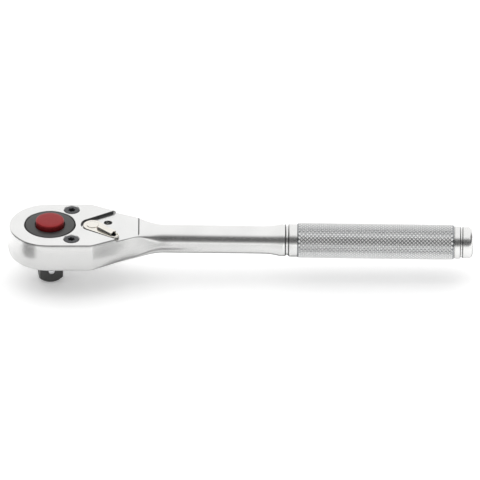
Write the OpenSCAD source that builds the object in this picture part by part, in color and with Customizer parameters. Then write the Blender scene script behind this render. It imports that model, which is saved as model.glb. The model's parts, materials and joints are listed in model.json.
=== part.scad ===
// Half-inch reversible ratchet wrench with a push-button socket release.
// Frame: the origin is on the square drive's axis, in the plane of the head's underside.
// +X runs along the handle, +Z goes up through the release button.

/* [Head] */
// Height of the head, from its underside to the top of the cover
head_h = 17.2; // [16.6:0.1:17.8]
// Half width of the head where its sides bulge most
head_w = 22.9; // [22.4:0.1:23.6]
// Bulge of the forged sides, from the widest line to the top edge
side_crown = 1.4; // [1:0.1:1.6]
// Rounding of the head's lower edge
under_round = 1.6; // [1.2:0.1:2.4]
// Thickness of the cover plate
cover_t = 2.6; // [2.4:0.1:2.8]
// Depth of the lever floor under the top of the cover
lever_floor_depth = 1.6; // [1.4:0.1:1.8]
// Half angle of the V that the lever swings in
notch_angle = 31.2; // [28:0.2:33]
// Angle of the flanks that narrow the head to the neck
flank_angle = 26.5; // [25:0.5:28]

/* [Handle] */
// Distance from the drive's axis to the end of the handle
handle_end = 231; // [228:0.5:240]
// Fall of the handle along its length, in degrees
handle_droop = 0.9; // [0:0.1:1.2]
// Radius of the shank next to the neck
shank_r = 7.75; // [7.6:0.05:7.9]
// Outer radius of the knurled grip
grip_r = 9.72; // [9.5:0.02:10]
// Length of the knurled grip
grip_len = 85.7; // [70:0.1:86]

/* [Drive] */
// Side of the square drive
square_side = 12.7; // [12.6:0.01:12.7]
// Diameter across the turned corners of the square
square_corner_d = 16.7; // [16.3:0.1:16.8]
// Length of the square below the head
square_len = 16.2; // [15:0.1:17]
// Turn of the square at rest
square_turn = 8.3; // [0:0.1:45]
// Number of teeth on the wheel
teeth = 36; // [36]
// Radius of the wheel over its teeth
tooth_tip_r = 15.3; // [15.2:0.05:15.4]
// Radius of the wheel between its teeth
tooth_root_r = 14.2; // [14.1:0.05:14.3]

/* [Release] */
// Radius of the push button
button_r = 7.8; // [7.4:0.1:8]
// Height of the button over the wheel's face
button_rise = 3.2; // [3.1:0.1:3.6]
// Travel of the button
button_travel = 3; // [2.8:0.1:3]
// Radius of the socket locking ball
ball_r = 2.25; // [2.2:0.05:2.3]
// Depth of the ball's centre under the head
ball_z = 9.1; // [8.6:0.1:9.4]

/* [Selector] */
// Distance from the drive's axis to the lever's pivot
lever_x = 23.35; // [23.2:0.05:23.5]
// Swing of the lever from one direction to the other
lever_swing = 84; // [80:1:84]
// Length of the lever from its pivot
lever_len = 18.6; // [17:0.1:19]
// Thickness of the lever's plate
lever_t = 1.25; // [1:0.05:1.3]
// Swing of each pawl out of the teeth
pawl_swing = 8; // [7.8:0.1:8.2]

/* [Pawl screws] */
// Distance of the screws from the drive's axis, along the handle
screw_x = 11.8; // [11.7:0.05:11.9]
// Distance of the screws from the centre line
screw_y = 15.2; // [15.1:0.05:15.3]
// Radius of the screw's shank
screw_r = 2; // [2:0.1:2.1]
// Radius of the countersunk screw head
screw_head_r = 4.1; // [3.9:0.1:4.2]

/* [Hidden] */
$fn = 96;

eps = 0.01;
run_gap = 0.05;             // radial clearance of a part that turns or slides
fit_gap = 0.02;             // radial clearance of a part that is pressed or screwed home

// levels in the head, from the underside up
cover_z = head_h - cover_t;
floor_z = head_h - lever_floor_depth;
neck_top_z = floor_z + 0.32;
chamber_z = 4;              // floor of the mechanism chamber
roof_z = 12.4;              // underside of the roof over the selector
washer_t = 0.4;
wheel_z = chamber_z + washer_t + 0.1;
wheel_top_z = cover_z - 0.4;
pawl_z = chamber_z + 0.3;
pawl_top_z = roof_z - 0.3;
pawl_mid_z = (pawl_z + pawl_top_z) / 2;

// plan of the head
nose_x = -0.7;              // centre of the round nose
shoulder_r = 6;
neck_r = 35;                // concave curve between the flanks and the shank
flank_x = 40.6;             // a point on the flank
flank_y = 13.9;
neck_w = 7.8;               // half width at the end of the neck
neck_end = 60;
crown_z = head_h / 2;       // height of the widest line
rim_round = 0.9;            // rounding of the upper edges
crown_r = (pow(crown_z, 2) + pow(side_crown, 2)) / (2 * side_crown);
step_x = 48.5;              // end of the milled lever floor

// handle axis
axis_z = 9.14;              // height of the handle's axis over the origin
grip_x = 135;

// drive
journal_r = 9.5;            // lower journal of the wheel
cover_bore_r = 14.1;
seal_r = 0.33;
seal_z = head_h - 0.75;
lower_seal_r = 0.5;
lower_seal_z = 1.9;
face_r = cover_bore_r - 0.7;
plunger_bore_r = 3;
plunger_r = 2.9;
rod_r = 1.6;
plunger_top_r = 1.5;        // spigot of the plunger in the button
ball_lip_r = 1.95;          // staked lip that holds the ball in
ball_out = square_side / 2 - sqrt(pow(ball_r, 2) - pow(ball_lip_r, 2));
ramp_angle = 20;            // cone that works the ball
button_well_r = button_r + 0.15;
button_well_z = 10;
spring_well_r = 5.2;
spring_well_z = 3.6;

// selector
roof_bore_r = 4.7;
cam_shaft_r = 2;
cam_r = 3.45;
cam_offset = 1.2;
notch_r = 6.5;              // rounding of the V about the pivot
lever_hub_r = 5.2;
lever_tip_r = 2.6;
detent_ball_r = 0.9;
detent_out = 4;             // radius at which the detent ball runs
detent_z = roof_z + 1.35;
cam_seal_r = 0.3;
cam_seal_z = floor_z - 0.35;
spring_x = 23.3;            // axis of the pawl springs
spring_end_y = 17.4;
pawl_hub_r = 3.4;
pawl_tail_y = 7.3;
oil_hole_x = 31.7;
oil_hole_y = 4.4;
oil_hole_r = 2.35;

// screws
sink_gap = 0.1;             // gap between the screw and its countersink
sink_rim = 0.35;            // upright rim above the cone
sink_h = screw_head_r - screw_r;
sink_z = head_h - sink_rim - sink_h;

function smooth(a, b, x) = let (t = min(1, max(0, (x - a) / (b - a)))) t * t * (3 - 2 * t);
function turn(p, a) = [p[0] * cos(a) - p[1] * sin(a), p[0] * sin(a) + p[1] * cos(a)];
function arc(c, r, a, b, n) = [for (i = [0:n]) c + r * [cos(a + (b - a) * i / n), sin(a + (b - a) * i / n)]];
function reversed(list) = [for (i = [len(list) - 1:-1:0]) list[i]];
function mirrored(list) = [for (p = reversed(list)) [p[0], -p[1]]];

// Half plan of the forging on its widest line, from the nose to the end of the neck.
shoulder_corner_x = flank_x - (head_w - flank_y) / tan(flank_angle);
shoulder_c = [shoulder_corner_x - shoulder_r * tan(flank_angle / 2), head_w - shoulder_r];
neck_corner_x = flank_x + (flank_y - neck_w) / tan(flank_angle);
neck_c = [neck_corner_x + neck_r * tan(flank_angle / 2), neck_w + neck_r];
half_plan = concat(
    arc([nose_x, 0], head_w, 180, 90, 22),
    [for (i = [1:3]) [nose_x + (shoulder_c[0] - nose_x) * i / 4, head_w]],
    arc(shoulder_c, shoulder_r, 90, 90 - flank_angle, 4),
    [for (i = [1:2]) let (t = i / 3)
        shoulder_c + shoulder_r * [sin(flank_angle), cos(flank_angle)]
        + t * (neck_c - neck_r * [sin(flank_angle), cos(flank_angle)]
        - shoulder_c - shoulder_r * [sin(flank_angle), cos(flank_angle)])],
    arc(neck_c, neck_r, 270 - flank_angle, 270, 8));
plan = concat(half_plan, [for (i = [len(half_plan) - 1:-1:1]) [half_plan[i][0], -half_plan[i][1]]]);

// Outward direction at each point of the plan.
function at(list, i) = list[(i + len(list)) % len(list)];
function outward(i) = let (d = at(plan, i + 1) - at(plan, i - 1)) [-d[1], d[0]] / norm(d);
plan_out = [for (i = [0:len(plan) - 1])
    i == len(half_plan) - 1 ? [0, 1] : i == len(half_plan) ? [0, -1] : outward(i)];

// One side of the cross-section at x, from the bottom up, as [inset, height] pairs.
low_swell = 1.9;            // how much more the lower edge is rounded near the neck
function low_round(x) = under_round + smooth(18, 46, x) * low_swell
    + smooth(46, 60, x) * (neck_w - 0.4 - under_round - low_swell);
function top_round(x) = rim_round + smooth(46, 60, x) * (neck_w - 0.4 - rim_round);
function low_z(x) = smooth(30, 60, x) * (axis_z - neck_end * tan(handle_droop) - shank_r);
function crown(z) = crown_r - sqrt(pow(crown_r, 2) - pow(z - crown_z, 2));
function side(x, top_z, top_r) = let (r = low_round(x), b = low_z(x), k = 1 - smooth(34, 56, x)) concat(
    [for (a = [-90:22.5:0]) let (z = b + r + r * sin(a)) [r - r * cos(a) + k * crown(z), z]],
    [for (t = [1, 2]) let (z = b + r + t / 3 * (top_z - top_r - b - r)) [k * crown(z), z]],
    [for (a = [0:30:90]) let (z = top_z - top_r + top_r * sin(a))
        [top_r - top_r * cos(a) + k * crown(z), z]]);

// Faces of a shell whose rings stand on the points of the plan, each ring counted from the bottom up.
function shell_faces(high) = let (count = len(plan), m = len(half_plan) - 1, t = high - 1) concat(
    [for (i = [0:count - 1], j = [0:high - 2]) let (a = i * high + j, b = ((i + 1) % count) * high + j)
        each [[a, b + 1, a + 1], [a, b, b + 1]]],
    [[0, (count - 1) * high, high], [t, high + t, (count - 1) * high + t]],
    [for (i = [1:m - 1]) high * [i, count - i, count - i - 1, i + 1]],
    [for (i = [1:m - 1]) [for (k = [i, i + 1, count - i - 1, count - i]) k * high + t]]);

// The forging's outer skin from the nose to the neck, as one closed shell.
module forged_skin(top_z) {
    rows = [for (i = [0:len(plan) - 1]) let (p = plan[i], n = plan_out[i])
        [for (s = side(p[0], top_z, top_round(p[0]))) [p[0] - n[0] * s[0], p[1] - n[1] * s[0], s[1]]]];
    polyhedron(points = [for (r = rows, p = r) p], faces = shell_faces(len(rows[0])), convexity = 4);
}

// Plan area of the lever floor: a V that opens along the handle, rounded about the lever's pivot.
module notch_plan(grow = 0) {
    r = notch_r + grow;
    reach = 40;
    half = r / cos(notch_angle) + reach * tan(notch_angle);
    translate([lever_x, 0])
        polygon(concat(arc([0, 0], r, 90 + notch_angle, 270 - notch_angle, 24),
                       [[reach, -half], [reach, half]]));
}

// Plan of the wheel's toothed rim. c widens it, for the gaps that it is cut into.
module wheel_plan(c = 0) {
    pitch = 360 / teeth;
    tip_half = 1.3 + c * 4;
    root_half = 3.9 + c * 4;
    polygon([for (i = [0:teeth - 1], p = [[tooth_root_r + c, -root_half], [tooth_tip_r + c, -tip_half],
                                          [tooth_tip_r + c, tip_half], [tooth_root_r + c, root_half]])
        let (a = (i + 0.5) * pitch + p[1]) p[0] * [cos(a), sin(a)]]);
}

// The handle from the neck to its end, turned about its own axis.
module handle_turning() {
    end_r = 8.65;
    end_round = 2.6;
    band_end = grip_x + grip_len;
    profile = concat(
        [[neck_end - 4, 0], [neck_end - 4, shank_r], [66, shank_r], [84, 7.68], [100, 7.63], [116, 7.6],
         [120, 7.8], [123, 8.15], [125.6, 8.6]],
        arc([127.1, 7.35], 1.5, 115, 40, 5),
        arc([129.55, 9.1], 0.95, 230, 310, 5),
        arc([131.2, 7.9], 1.1, 130, 90, 3),
        [[grip_x - 0.9, 9], [grip_x, grip_r - 0.25], [grip_x + 0.6, grip_r],
         [band_end - 0.8, grip_r], [band_end, grip_r - 0.35], [band_end + 0.9, 8.95]],
        arc([band_end + 2.7, 7.75], 1.2, 90, 35, 3),
        arc([band_end + 4.1, 9.1], 0.85, 235, 305, 5),
        arc([band_end + 6.3, 7.05], 1.6, 130, 90, 3),
        arc([handle_end - end_round, end_r - end_round], end_round, 90, 10, 6),
        [[handle_end, end_r - end_round - 1], [handle_end, 0]]);
    translate([0, 0, axis_z]) rotate([0, handle_droop, 0]) rotate([0, 90, 0])
        rotate_extrude() polygon([for (p = profile) [p[1], p[0]]]);
}

// Plan of the chamber that holds the pawls.
module chamber_plan() {
    circle(tooth_tip_r + 0.4);
    for (s = [-1, 1]) scale([1, s]) {
        translate([screw_x, screw_y]) circle(pawl_hub_r + 0.35);
        polygon([[10, 0], [28.8, 0], [28.8, 10.2], [22, 10.2], [15.6, 16.4], [9, 17]]);
    }
}

module at_lever(a = -lever_swing / 2) translate([lever_x, 0, 0]) rotate([0, 0, a]) children();

module ratchet_body() color("silver") difference() {
    union() {
        forged_skin(neck_top_z);
        handle_turning();
    }
    // milled seat of the cover, and the lever floor
    difference() {
        translate([-40, -40, cover_z]) cube([80, 80, 10]);
        translate([0, 0, cover_z - 1]) linear_extrude(20) notch_plan();
    }
    translate([lever_x - 12, -30, floor_z]) cube([step_x - lever_x + 12, 60, 10]);
    // wheel and pawl chamber
    translate([0, 0, chamber_z]) linear_extrude(roof_z - chamber_z) chamber_plan();
    translate([0, 0, roof_z - eps]) linear_extrude(5) difference() {
        chamber_plan();
        notch_plan(1);
    }
    translate([0, 0, -1]) cylinder(h = chamber_z + 2, r = journal_r + run_gap);
    for (s = [-1, 1]) scale([1, s, 1]) {
        translate([screw_x, screw_y, 0.8]) cylinder(h = chamber_z, r = screw_r + fit_gap);
        translate([spring_x, 9, pawl_mid_z]) rotate([-90, 0, 0])
            cylinder(h = spring_end_y + 0.1 - 9, r = 2.2);
    }
    // selector bore, its lower bearing, and the track of its detent
    translate([lever_x, 0, roof_z - 1]) cylinder(h = 6, r = roof_bore_r);
    translate([lever_x, 0, 1.6]) cylinder(h = 4, r = cam_shaft_r + run_gap);
    at_lever(170 - lever_swing / 2) translate([0, 0, detent_z - detent_ball_r - run_gap])
        rotate_extrude(angle = lever_swing + 20) translate([3, 0])
            square([detent_out + detent_ball_r + run_gap - 3, 2 * (detent_ball_r + run_gap)]);
    for (a = [-lever_swing / 2, lever_swing / 2]) at_lever(a + 180)
        translate([detent_out + 0.2, 0, detent_z]) sphere(r = detent_ball_r + run_gap);
    // oil hole
    translate([oil_hole_x, oil_hole_y, roof_z - 4]) cylinder(h = 8, r = oil_hole_r);
    translate([oil_hole_x - 8, oil_hole_y - 1.5, roof_z - 4]) cube([8, 3, 2]);
}

module cover_plate() color("gainsboro") difference() {
    intersection() {
        cover_skin();
        translate([-40, -40, cover_z]) cube([80, 80, 10]);
    }
    translate([0, 0, cover_z - 1]) linear_extrude(10) notch_plan();
    translate([0, 0, cover_z - 1]) cylinder(h = 10, r = cover_bore_r);
    for (s = [-1, 1]) translate([screw_x, s * screw_y, 0]) {
        translate([0, 0, cover_z - 1]) cylinder(h = 10, r = screw_r + sink_gap);
        translate([0, 0, sink_z]) cylinder(h = sink_h, r1 = screw_r + sink_gap, r2 = screw_head_r + sink_gap);
        translate([0, 0, sink_z + sink_h - eps]) cylinder(h = 3, r = screw_head_r + sink_gap);
    }
}

// The cover's blank: the head's plan, carried up to the cover's top.
module cover_skin() {
    rows = [for (i = [0:len(plan) - 1]) let (p = plan[i], n = plan_out[i])
        [for (s = [[cover_z - 0.5, 0], [cover_z + 0.6, 0], [head_h - rim_round, 0],
                   [head_h - 0.3 * rim_round, 0.3 * rim_round], [head_h, rim_round]])
            let (d = crown(s[0]) + s[1]) [p[0] - n[0] * d, p[1] - n[1] * d, s[0]]]];
    polyhedron(points = [for (r = rows, p = r) p], faces = shell_faces(5), convexity = 4);
}

// Six-lobed driver recess.
module lobed_recess(r, depth) translate([0, 0, -depth]) linear_extrude(depth + 1)
    polygon([for (a = [0:10:350]) r * (1 - 0.13 * (1 - cos(6 * a))) * [cos(a), sin(a)]]);

module pawl_screws() color("dimgray") for (s = [-1, 1]) translate([screw_x, s * screw_y, 0]) difference() {
    union() {
        translate([0, 0, 1]) cylinder(h = sink_z, r = screw_r);
        translate([0, 0, sink_z]) cylinder(h = sink_h, r1 = screw_r, r2 = screw_head_r);
        translate([0, 0, sink_z + sink_h]) cylinder(h = sink_rim - 0.05, r = screw_head_r);
    }
    translate([0, 0, head_h]) lobed_recess(1.95, 1.9);
}

// A round-section ring that lies about the Z axis.
module o_ring(r, wire) rotate_extrude() translate([r, 0]) circle(wire, $fn = 32);

module seal_ring() color("black") translate([0, 0, seal_z]) o_ring((face_r + cover_bore_r) / 2, seal_r);

// Where the ball sits on the square, in the wheel's own turned frame.
module at_ball() rotate([0, 0, square_turn - 90]) children();

module drive_gear() color("dimgray") difference() {
    union() {
        translate([0, 0, wheel_z]) linear_extrude(wheel_top_z - wheel_z) wheel_plan();
        translate([0, 0, wheel_top_z - 1])
            cylinder(h = cover_z + 1.4 - wheel_top_z + 1, r = cover_bore_r - run_gap);
        translate([0, 0, cover_z + 1]) cylinder(h = head_h - 0.35 - cover_z - 1, r = face_r);
        translate([0, 0, head_h - 0.35]) cylinder(h = 0.3, r1 = face_r, r2 = face_r - 0.3);
        translate([0, 0, 0.2]) cylinder(h = wheel_z, r = journal_r);
        intersection() {
            rotate([0, 0, square_turn]) translate([-square_side / 2, -square_side / 2, -square_len])
                cube([square_side, square_side, square_len + 1]);
            union() {
                translate([0, 0, -square_len])
                    cylinder(h = 3, r1 = square_side / 2 - 0.3, r2 = square_side / 2 + 2.7);
                translate([0, 0, 3 - square_len - eps]) cylinder(h = square_len, r = square_side);
            }
            translate([0, 0, -square_len]) cylinder(h = square_len + 1, d = square_corner_d);
        }
    }
    // well of the button, well of its spring, bore of the plunger
    translate([0, 0, button_well_z]) cylinder(h = 10, r = button_well_r);
    translate([0, 0, spring_well_z]) cylinder(h = 10, r = spring_well_r);
    translate([0, 0, -square_len + 2.3]) cylinder(h = square_len + 4, r = plunger_bore_r);
    // groove of the lower seal
    translate([0, 0, lower_seal_z - lower_seal_r - run_gap]) difference() {
        cylinder(h = 2 * (lower_seal_r + run_gap), r = journal_r + 1);
        translate([0, 0, -1]) cylinder(h = 4, r = journal_r - 2 * lower_seal_r - run_gap);
    }
    // ball hole with its staked lip
    at_ball() translate([0, 0, -ball_z]) rotate([0, 90, 0]) {
        cylinder(h = ball_out + 0.3, r = ball_r + 0.04);
        translate([0, 0, ball_out + 0.3 - eps])
            cylinder(h = square_side / 2 - ball_out, r1 = ball_r + 0.04, r2 = ball_lip_r - 0.05);
        cylinder(h = square_side, r = ball_lip_r + 0.04);
    }
}

module lower_seal_ring() color("black") translate([0, 0, lower_seal_z])
    o_ring(journal_r - lower_seal_r, lower_seal_r);

module thrust_washer() color("darkgoldenrod") translate([0, 0, chamber_z + fit_gap]) difference() {
    cylinder(h = washer_t, r = tooth_root_r - 0.3);
    translate([0, 0, -1]) cylinder(h = 3, r = journal_r + 0.3);
}

module release_button() color("firebrick") difference() {
    rise = head_h - 0.05 + button_rise;
    rotate_extrude() polygon(concat(
        [[0, 13.2], [button_r - 0.3, 13.2], [button_r, 13.5]],
        arc([button_r - 1, rise - 1.15], 1, 0, 75, 5),
        [[3, rise - 0.02], [0, rise]]));
    // socket of the plunger, and the groove round it for the spring's end
    translate([0, 0, 12]) cylinder(h = 5.4, r = plunger_top_r + fit_gap);
    translate([0, 0, 12]) difference() {
        cylinder(h = 4, r = 5);
        translate([0, 0, -1]) cylinder(h = 6, r = 2.6);
    }
}

module release_plunger() color("lightgray") {
    ramp_z = -ball_z - 0.4;
    ramp_h = (plunger_r - rod_r) / tan(ramp_angle);
    translate([0, 0, ramp_z - 1]) cylinder(h = 1, r = plunger_r);
    translate([0, 0, ramp_z]) cylinder(h = ramp_h, r1 = plunger_r, r2 = rod_r);
    translate([0, 0, ramp_z + ramp_h - eps]) cylinder(h = 13 - ramp_z - ramp_h, r = rod_r);
    translate([0, 0, 12.9]) cylinder(h = 4.3, r = plunger_top_r);
}

// A coil of round wire along +Z from the origin, with its ends turned flat.
module coil(r, wire, height, turns, steps = 20, sides = 8) {
    n = turns * steps;
    function z_at(t) = wire + (height - 2 * wire) * smooth(0.02, 0.98, t);
    rings = [for (i = [0:n]) let (t = i / n, a = 360 * turns * t)
        [for (k = [0:sides - 1]) let (b = 360 * k / sides, q = r + wire * cos(b))
            [q * cos(a), q * sin(a), z_at(t) + wire * sin(b)]]];
    faces = concat(
        [for (i = [0:n - 1], k = [0:sides - 1])
            [i * sides + k, (i + 1) * sides + k, (i + 1) * sides + (k + 1) % sides]],
        [for (i = [0:n - 1], k = [0:sides - 1])
            [i * sides + k, (i + 1) * sides + (k + 1) % sides, i * sides + (k + 1) % sides]],
        [[for (k = [0:sides - 1]) k]],
        [[for (k = [sides - 1:-1:0]) n * sides + k]]);
    polyhedron(points = [for (ring = rings, p = ring) p], faces = faces, convexity = 8);
}

module release_spring() color("lightsteelblue") translate([0, 0, spring_well_z + 0.05])
    coil(r = 3.8, wire = 0.4, height = 16 - spring_well_z - 0.1, turns = 6);

module locking_ball() color("whitesmoke")
    at_ball() translate([ball_out, 0, -ball_z]) sphere(r = ball_r);

// Plan of the left pawl, in mesh with the wheel.
module pawl_plan() difference() {
    union() {
        translate([screw_x, screw_y]) circle(pawl_hub_r);
        polygon([[8.8, 13.6], [13, 3], [15.4, 1.5], [18.4, 3], [20.6, 3.05], [26.2, 2.75], [26.8, 3.4],
                 [26.8, 6.6], [26.2, 7.2], [20.4, pawl_tail_y], [15.1, 14.4]]);
    }
    wheel_plan(0.12);
    intersection() {
        circle(tooth_tip_r + 0.25);
        polygon([[0, 0], 40 * [cos(24), sin(24)], 60 * [cos(50), sin(50)], 40 * [cos(80), sin(80)]]);
    }
    translate([screw_x, screw_y]) circle(screw_r + run_gap);
}

module pawl(swing) color("slategray") translate([screw_x, screw_y, pawl_z]) rotate([0, 0, swing])
    translate([-screw_x, -screw_y, 0]) linear_extrude(pawl_top_z - pawl_z) pawl_plan();

module pawl_left() pawl(0);
module pawl_right() mirror([0, 1, 0]) pawl(pawl_swing);

// A pawl spring between the pawl's tail and the end of its hole.
module pawl_spring(tail_y) color("lightsteelblue")
    translate([spring_x, spring_end_y, pawl_mid_z]) rotate([90, 0, 0])
        coil(r = 1.65, wire = 0.28, height = spring_end_y - tail_y - 0.15, turns = 6, steps = 16);

module pawl_spring_left() pawl_spring(pawl_tail_y + 0.05);
module pawl_spring_right() mirror([0, 1, 0])
    pawl_spring(pawl_tail_y + (spring_x - screw_x) * sin(pawl_swing) + 0.25);

module reversing_lever() color("lightgray") at_lever() translate([0, 0, floor_z + 0.05]) {
    tip = lever_len - lever_tip_r;
    slant = asin((lever_hub_r - lever_tip_r) / tip);
    difference() {
        union() {
            cylinder(h = lever_t, r = lever_hub_r);
            translate([tip, 0, 0]) cylinder(h = lever_t, r = lever_tip_r);
            linear_extrude(lever_t) polygon([
                lever_hub_r * [sin(slant), cos(slant)], [tip, 0] + lever_tip_r * [sin(slant), cos(slant)],
                [tip, 0] + lever_tip_r * [sin(slant), -cos(slant)], lever_hub_r * [sin(slant), -cos(slant)]]);
            // thumb bar
            intersection() {
                translate([4.4, 0, lever_t - 0.2]) rotate([0, 90, 0]) cylinder(h = 12, r = 2.2);
                translate([0, -5, 0.2]) cube([20, 10, 5]);
            }
        }
        translate([-2.05, -2.05, -1]) cube([4.1, 4.1, 5]);
        translate([0, 0, lever_t]) cylinder(h = 5, r = 3.45);
        translate([12, 0, lever_t + 0.1]) rotate([0, 90, 0]) cylinder(h = 8, r = 1.2);
    }
}

module selector_cam() color("silver") at_lever() difference() {
    plate_top_z = floor_z + lever_t + 0.08;
    union() {
        translate([0, 0, 1.8]) cylinder(h = pawl_z - 1.7, r = cam_shaft_r);
        translate([cam_offset, 0, pawl_z]) cylinder(h = pawl_top_z - pawl_z + 0.1, r = cam_r);
        translate([0, 0, roof_z - 0.2])
            cylinder(h = cam_seal_z - cam_seal_r - run_gap - roof_z + 0.2, r = roof_bore_r - run_gap);
        translate([0, 0, roof_z])
            cylinder(h = floor_z - roof_z, r = roof_bore_r - 2 * (cam_seal_r + run_gap));
        translate([-2, -2, floor_z - 0.2]) cube([4, 4, lever_t + 0.4]);
        translate([0, 0, plate_top_z]) cylinder(h = 0.4, r = 3.3);
        translate([0, 0, plate_top_z + 0.4]) cylinder(h = 0.35, r1 = 3.3, r2 = 2.5);
    }
    translate([0, 0, detent_z]) rotate([0, -90, 0]) cylinder(h = 8, r = detent_ball_r + run_gap);
}

module selector_seal_ring() color("black") at_lever() translate([0, 0, cam_seal_z])
    o_ring(roof_bore_r - run_gap - cam_seal_r, cam_seal_r);

module detent_ball() color("whitesmoke") at_lever()
    translate([-detent_out, 0, detent_z]) sphere(r = detent_ball_r);

module detent_spring() color("lightsteelblue") at_lever()
    translate([-0.05, 0, detent_z]) rotate([0, -90, 0])
        coil(r = 0.62, wire = 0.16, height = detent_out - detent_ball_r - 0.1, turns = 4, steps = 16);

ratchet_body();
cover_plate();
pawl_screws();
seal_ring();
drive_gear();
lower_seal_ring();
thrust_washer();
release_button();
release_plunger();
release_spring();
locking_ball();
pawl_left();
pawl_right();
pawl_spring_left();
pawl_spring_right();
reversing_lever();
selector_cam();
selector_seal_ring();
detent_ball();
detent_spring();
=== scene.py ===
import json
import math

import bpy
from mathutils import Matrix, Vector


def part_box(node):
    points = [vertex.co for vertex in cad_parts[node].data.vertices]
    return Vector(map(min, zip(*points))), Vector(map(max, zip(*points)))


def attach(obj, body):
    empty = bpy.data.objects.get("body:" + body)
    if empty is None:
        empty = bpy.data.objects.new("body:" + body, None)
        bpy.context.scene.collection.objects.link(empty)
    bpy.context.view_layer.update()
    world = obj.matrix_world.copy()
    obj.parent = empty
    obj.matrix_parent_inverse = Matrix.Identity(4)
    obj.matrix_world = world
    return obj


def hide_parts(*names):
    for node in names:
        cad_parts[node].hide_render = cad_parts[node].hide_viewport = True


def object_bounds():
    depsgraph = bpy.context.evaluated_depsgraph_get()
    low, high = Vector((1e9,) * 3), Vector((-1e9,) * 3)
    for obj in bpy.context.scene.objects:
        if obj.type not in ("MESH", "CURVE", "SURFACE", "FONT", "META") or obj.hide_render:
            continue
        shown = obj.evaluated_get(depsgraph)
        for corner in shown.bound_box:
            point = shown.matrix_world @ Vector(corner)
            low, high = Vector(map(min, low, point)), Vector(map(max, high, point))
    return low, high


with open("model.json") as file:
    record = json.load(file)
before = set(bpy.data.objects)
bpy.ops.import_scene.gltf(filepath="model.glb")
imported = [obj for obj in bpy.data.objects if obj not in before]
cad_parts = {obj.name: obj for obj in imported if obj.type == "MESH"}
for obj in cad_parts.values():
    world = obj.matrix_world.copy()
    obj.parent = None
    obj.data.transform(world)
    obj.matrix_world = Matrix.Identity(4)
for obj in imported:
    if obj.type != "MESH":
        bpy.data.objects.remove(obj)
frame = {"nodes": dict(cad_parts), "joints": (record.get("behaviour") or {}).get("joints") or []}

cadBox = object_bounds()
mm = 0.001      # pieces are modelled in millimetres and brought to metres when they are finished


def linearColour(hexColour):
    parts = [int(hexColour[i:i + 2], 16) / 255 for i in (1, 3, 5)]
    return [c / 12.92 if c <= 0.04045 else ((c + 0.055) / 1.055) ** 2.4 for c in parts] + [1]


def addNode(material, kind, sockets, **settings):
    node = material.node_tree.nodes.new(kind)
    for key, value in settings.items():
        setattr(node, key, value)
    for key, value in sockets.items():
        if isinstance(value, bpy.types.NodeSocket):
            material.node_tree.links.new(value, node.inputs[key])
        else:
            node.inputs[key].default_value = value
    return node


def smooth(low, high, x):
    t = min(1, max(0, (x - low) / (high - low)))
    return t * t * (3 - 2 * t)


def between(a, b, t):
    return a + (b - a) * t


def arc(centre, radius, start, end, count):
    angles = [math.radians(between(start, end, i / count)) for i in range(count + 1)]
    return [(centre[0] + radius * math.cos(a), centre[1] + radius * math.sin(a)) for a in angles]


def work(piece):      # only this piece is selected and active, in object mode
    if bpy.context.object and bpy.context.object.mode != "OBJECT":
        bpy.ops.object.mode_set(mode="OBJECT")
    bpy.ops.object.select_all(action="DESELECT")
    if piece:
        piece.select_set(True)
        bpy.context.view_layer.objects.active = piece


def applyModifier(piece, kind, **settings):
    work(piece)
    modifier = piece.modifiers.new("step", kind)
    for key, value in settings.items():
        setattr(modifier, key, value)
    bpy.ops.object.modifier_apply(modifier=modifier.name)


def shape(piece, tool, operation="DIFFERENCE"):      # cuts, joins or keeps with a tool that is used up
    applyModifier(piece, "BOOLEAN", operation=operation, object=tool, solver="EXACT")
    bpy.data.objects.remove(tool)


def tidyMesh(piece, distance=0.002):
    work(piece)
    bpy.ops.object.mode_set(mode="EDIT")
    bpy.ops.mesh.select_all(action="SELECT")
    bpy.ops.mesh.remove_doubles(threshold=distance)
    bpy.ops.mesh.dissolve_degenerate(threshold=0.0005)
    bpy.ops.mesh.normals_make_consistent(inside=False)
    bpy.ops.object.mode_set(mode="OBJECT")


def turnMesh(piece, angle, axis, at=(0, 0, 0)):
    spot = Matrix.Translation(Vector(at))
    piece.data.transform(spot @ Matrix.Rotation(math.radians(angle), 4, axis) @ spot.inverted())


def wrapped(name, rings, closed=True):      # a grid whose rows are laid on the rings, the ends closed flat
    work(None)
    count = len(rings[0])
    bpy.ops.mesh.primitive_grid_add(x_subdivisions=count if closed else count - 1,
                                    y_subdivisions=len(rings) - 1, size=1)
    piece = bpy.context.object
    piece.name = name
    across = count + 1 if closed else count
    for i, vertex in enumerate(piece.data.vertices):
        vertex.co = rings[i // across][i % across % count]
    tidyMesh(piece)
    if closed:
        bpy.ops.object.mode_set(mode="EDIT")
        bpy.ops.mesh.select_all(action="SELECT")
        bpy.ops.mesh.fill_holes(sides=0)
        bpy.ops.mesh.normals_make_consistent(inside=False)
        bpy.ops.object.mode_set(mode="OBJECT")
    return piece


def prism(name, outline, levels):      # levels are (height, how far the outline is let out there)
    count = len(outline)
    rings = []
    for z, grow in levels:
        ring = []
        for i, (x, y) in enumerate(outline):
            dx = outline[(i + 1) % count][0] - outline[i - 1][0]
            dy = outline[(i + 1) % count][1] - outline[i - 1][1]
            size = math.hypot(dx, dy) or 1
            ring.append((x + dy / size * grow, y - dx / size * grow, z))
        rings.append(ring)
    return wrapped(name, rings)


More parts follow.
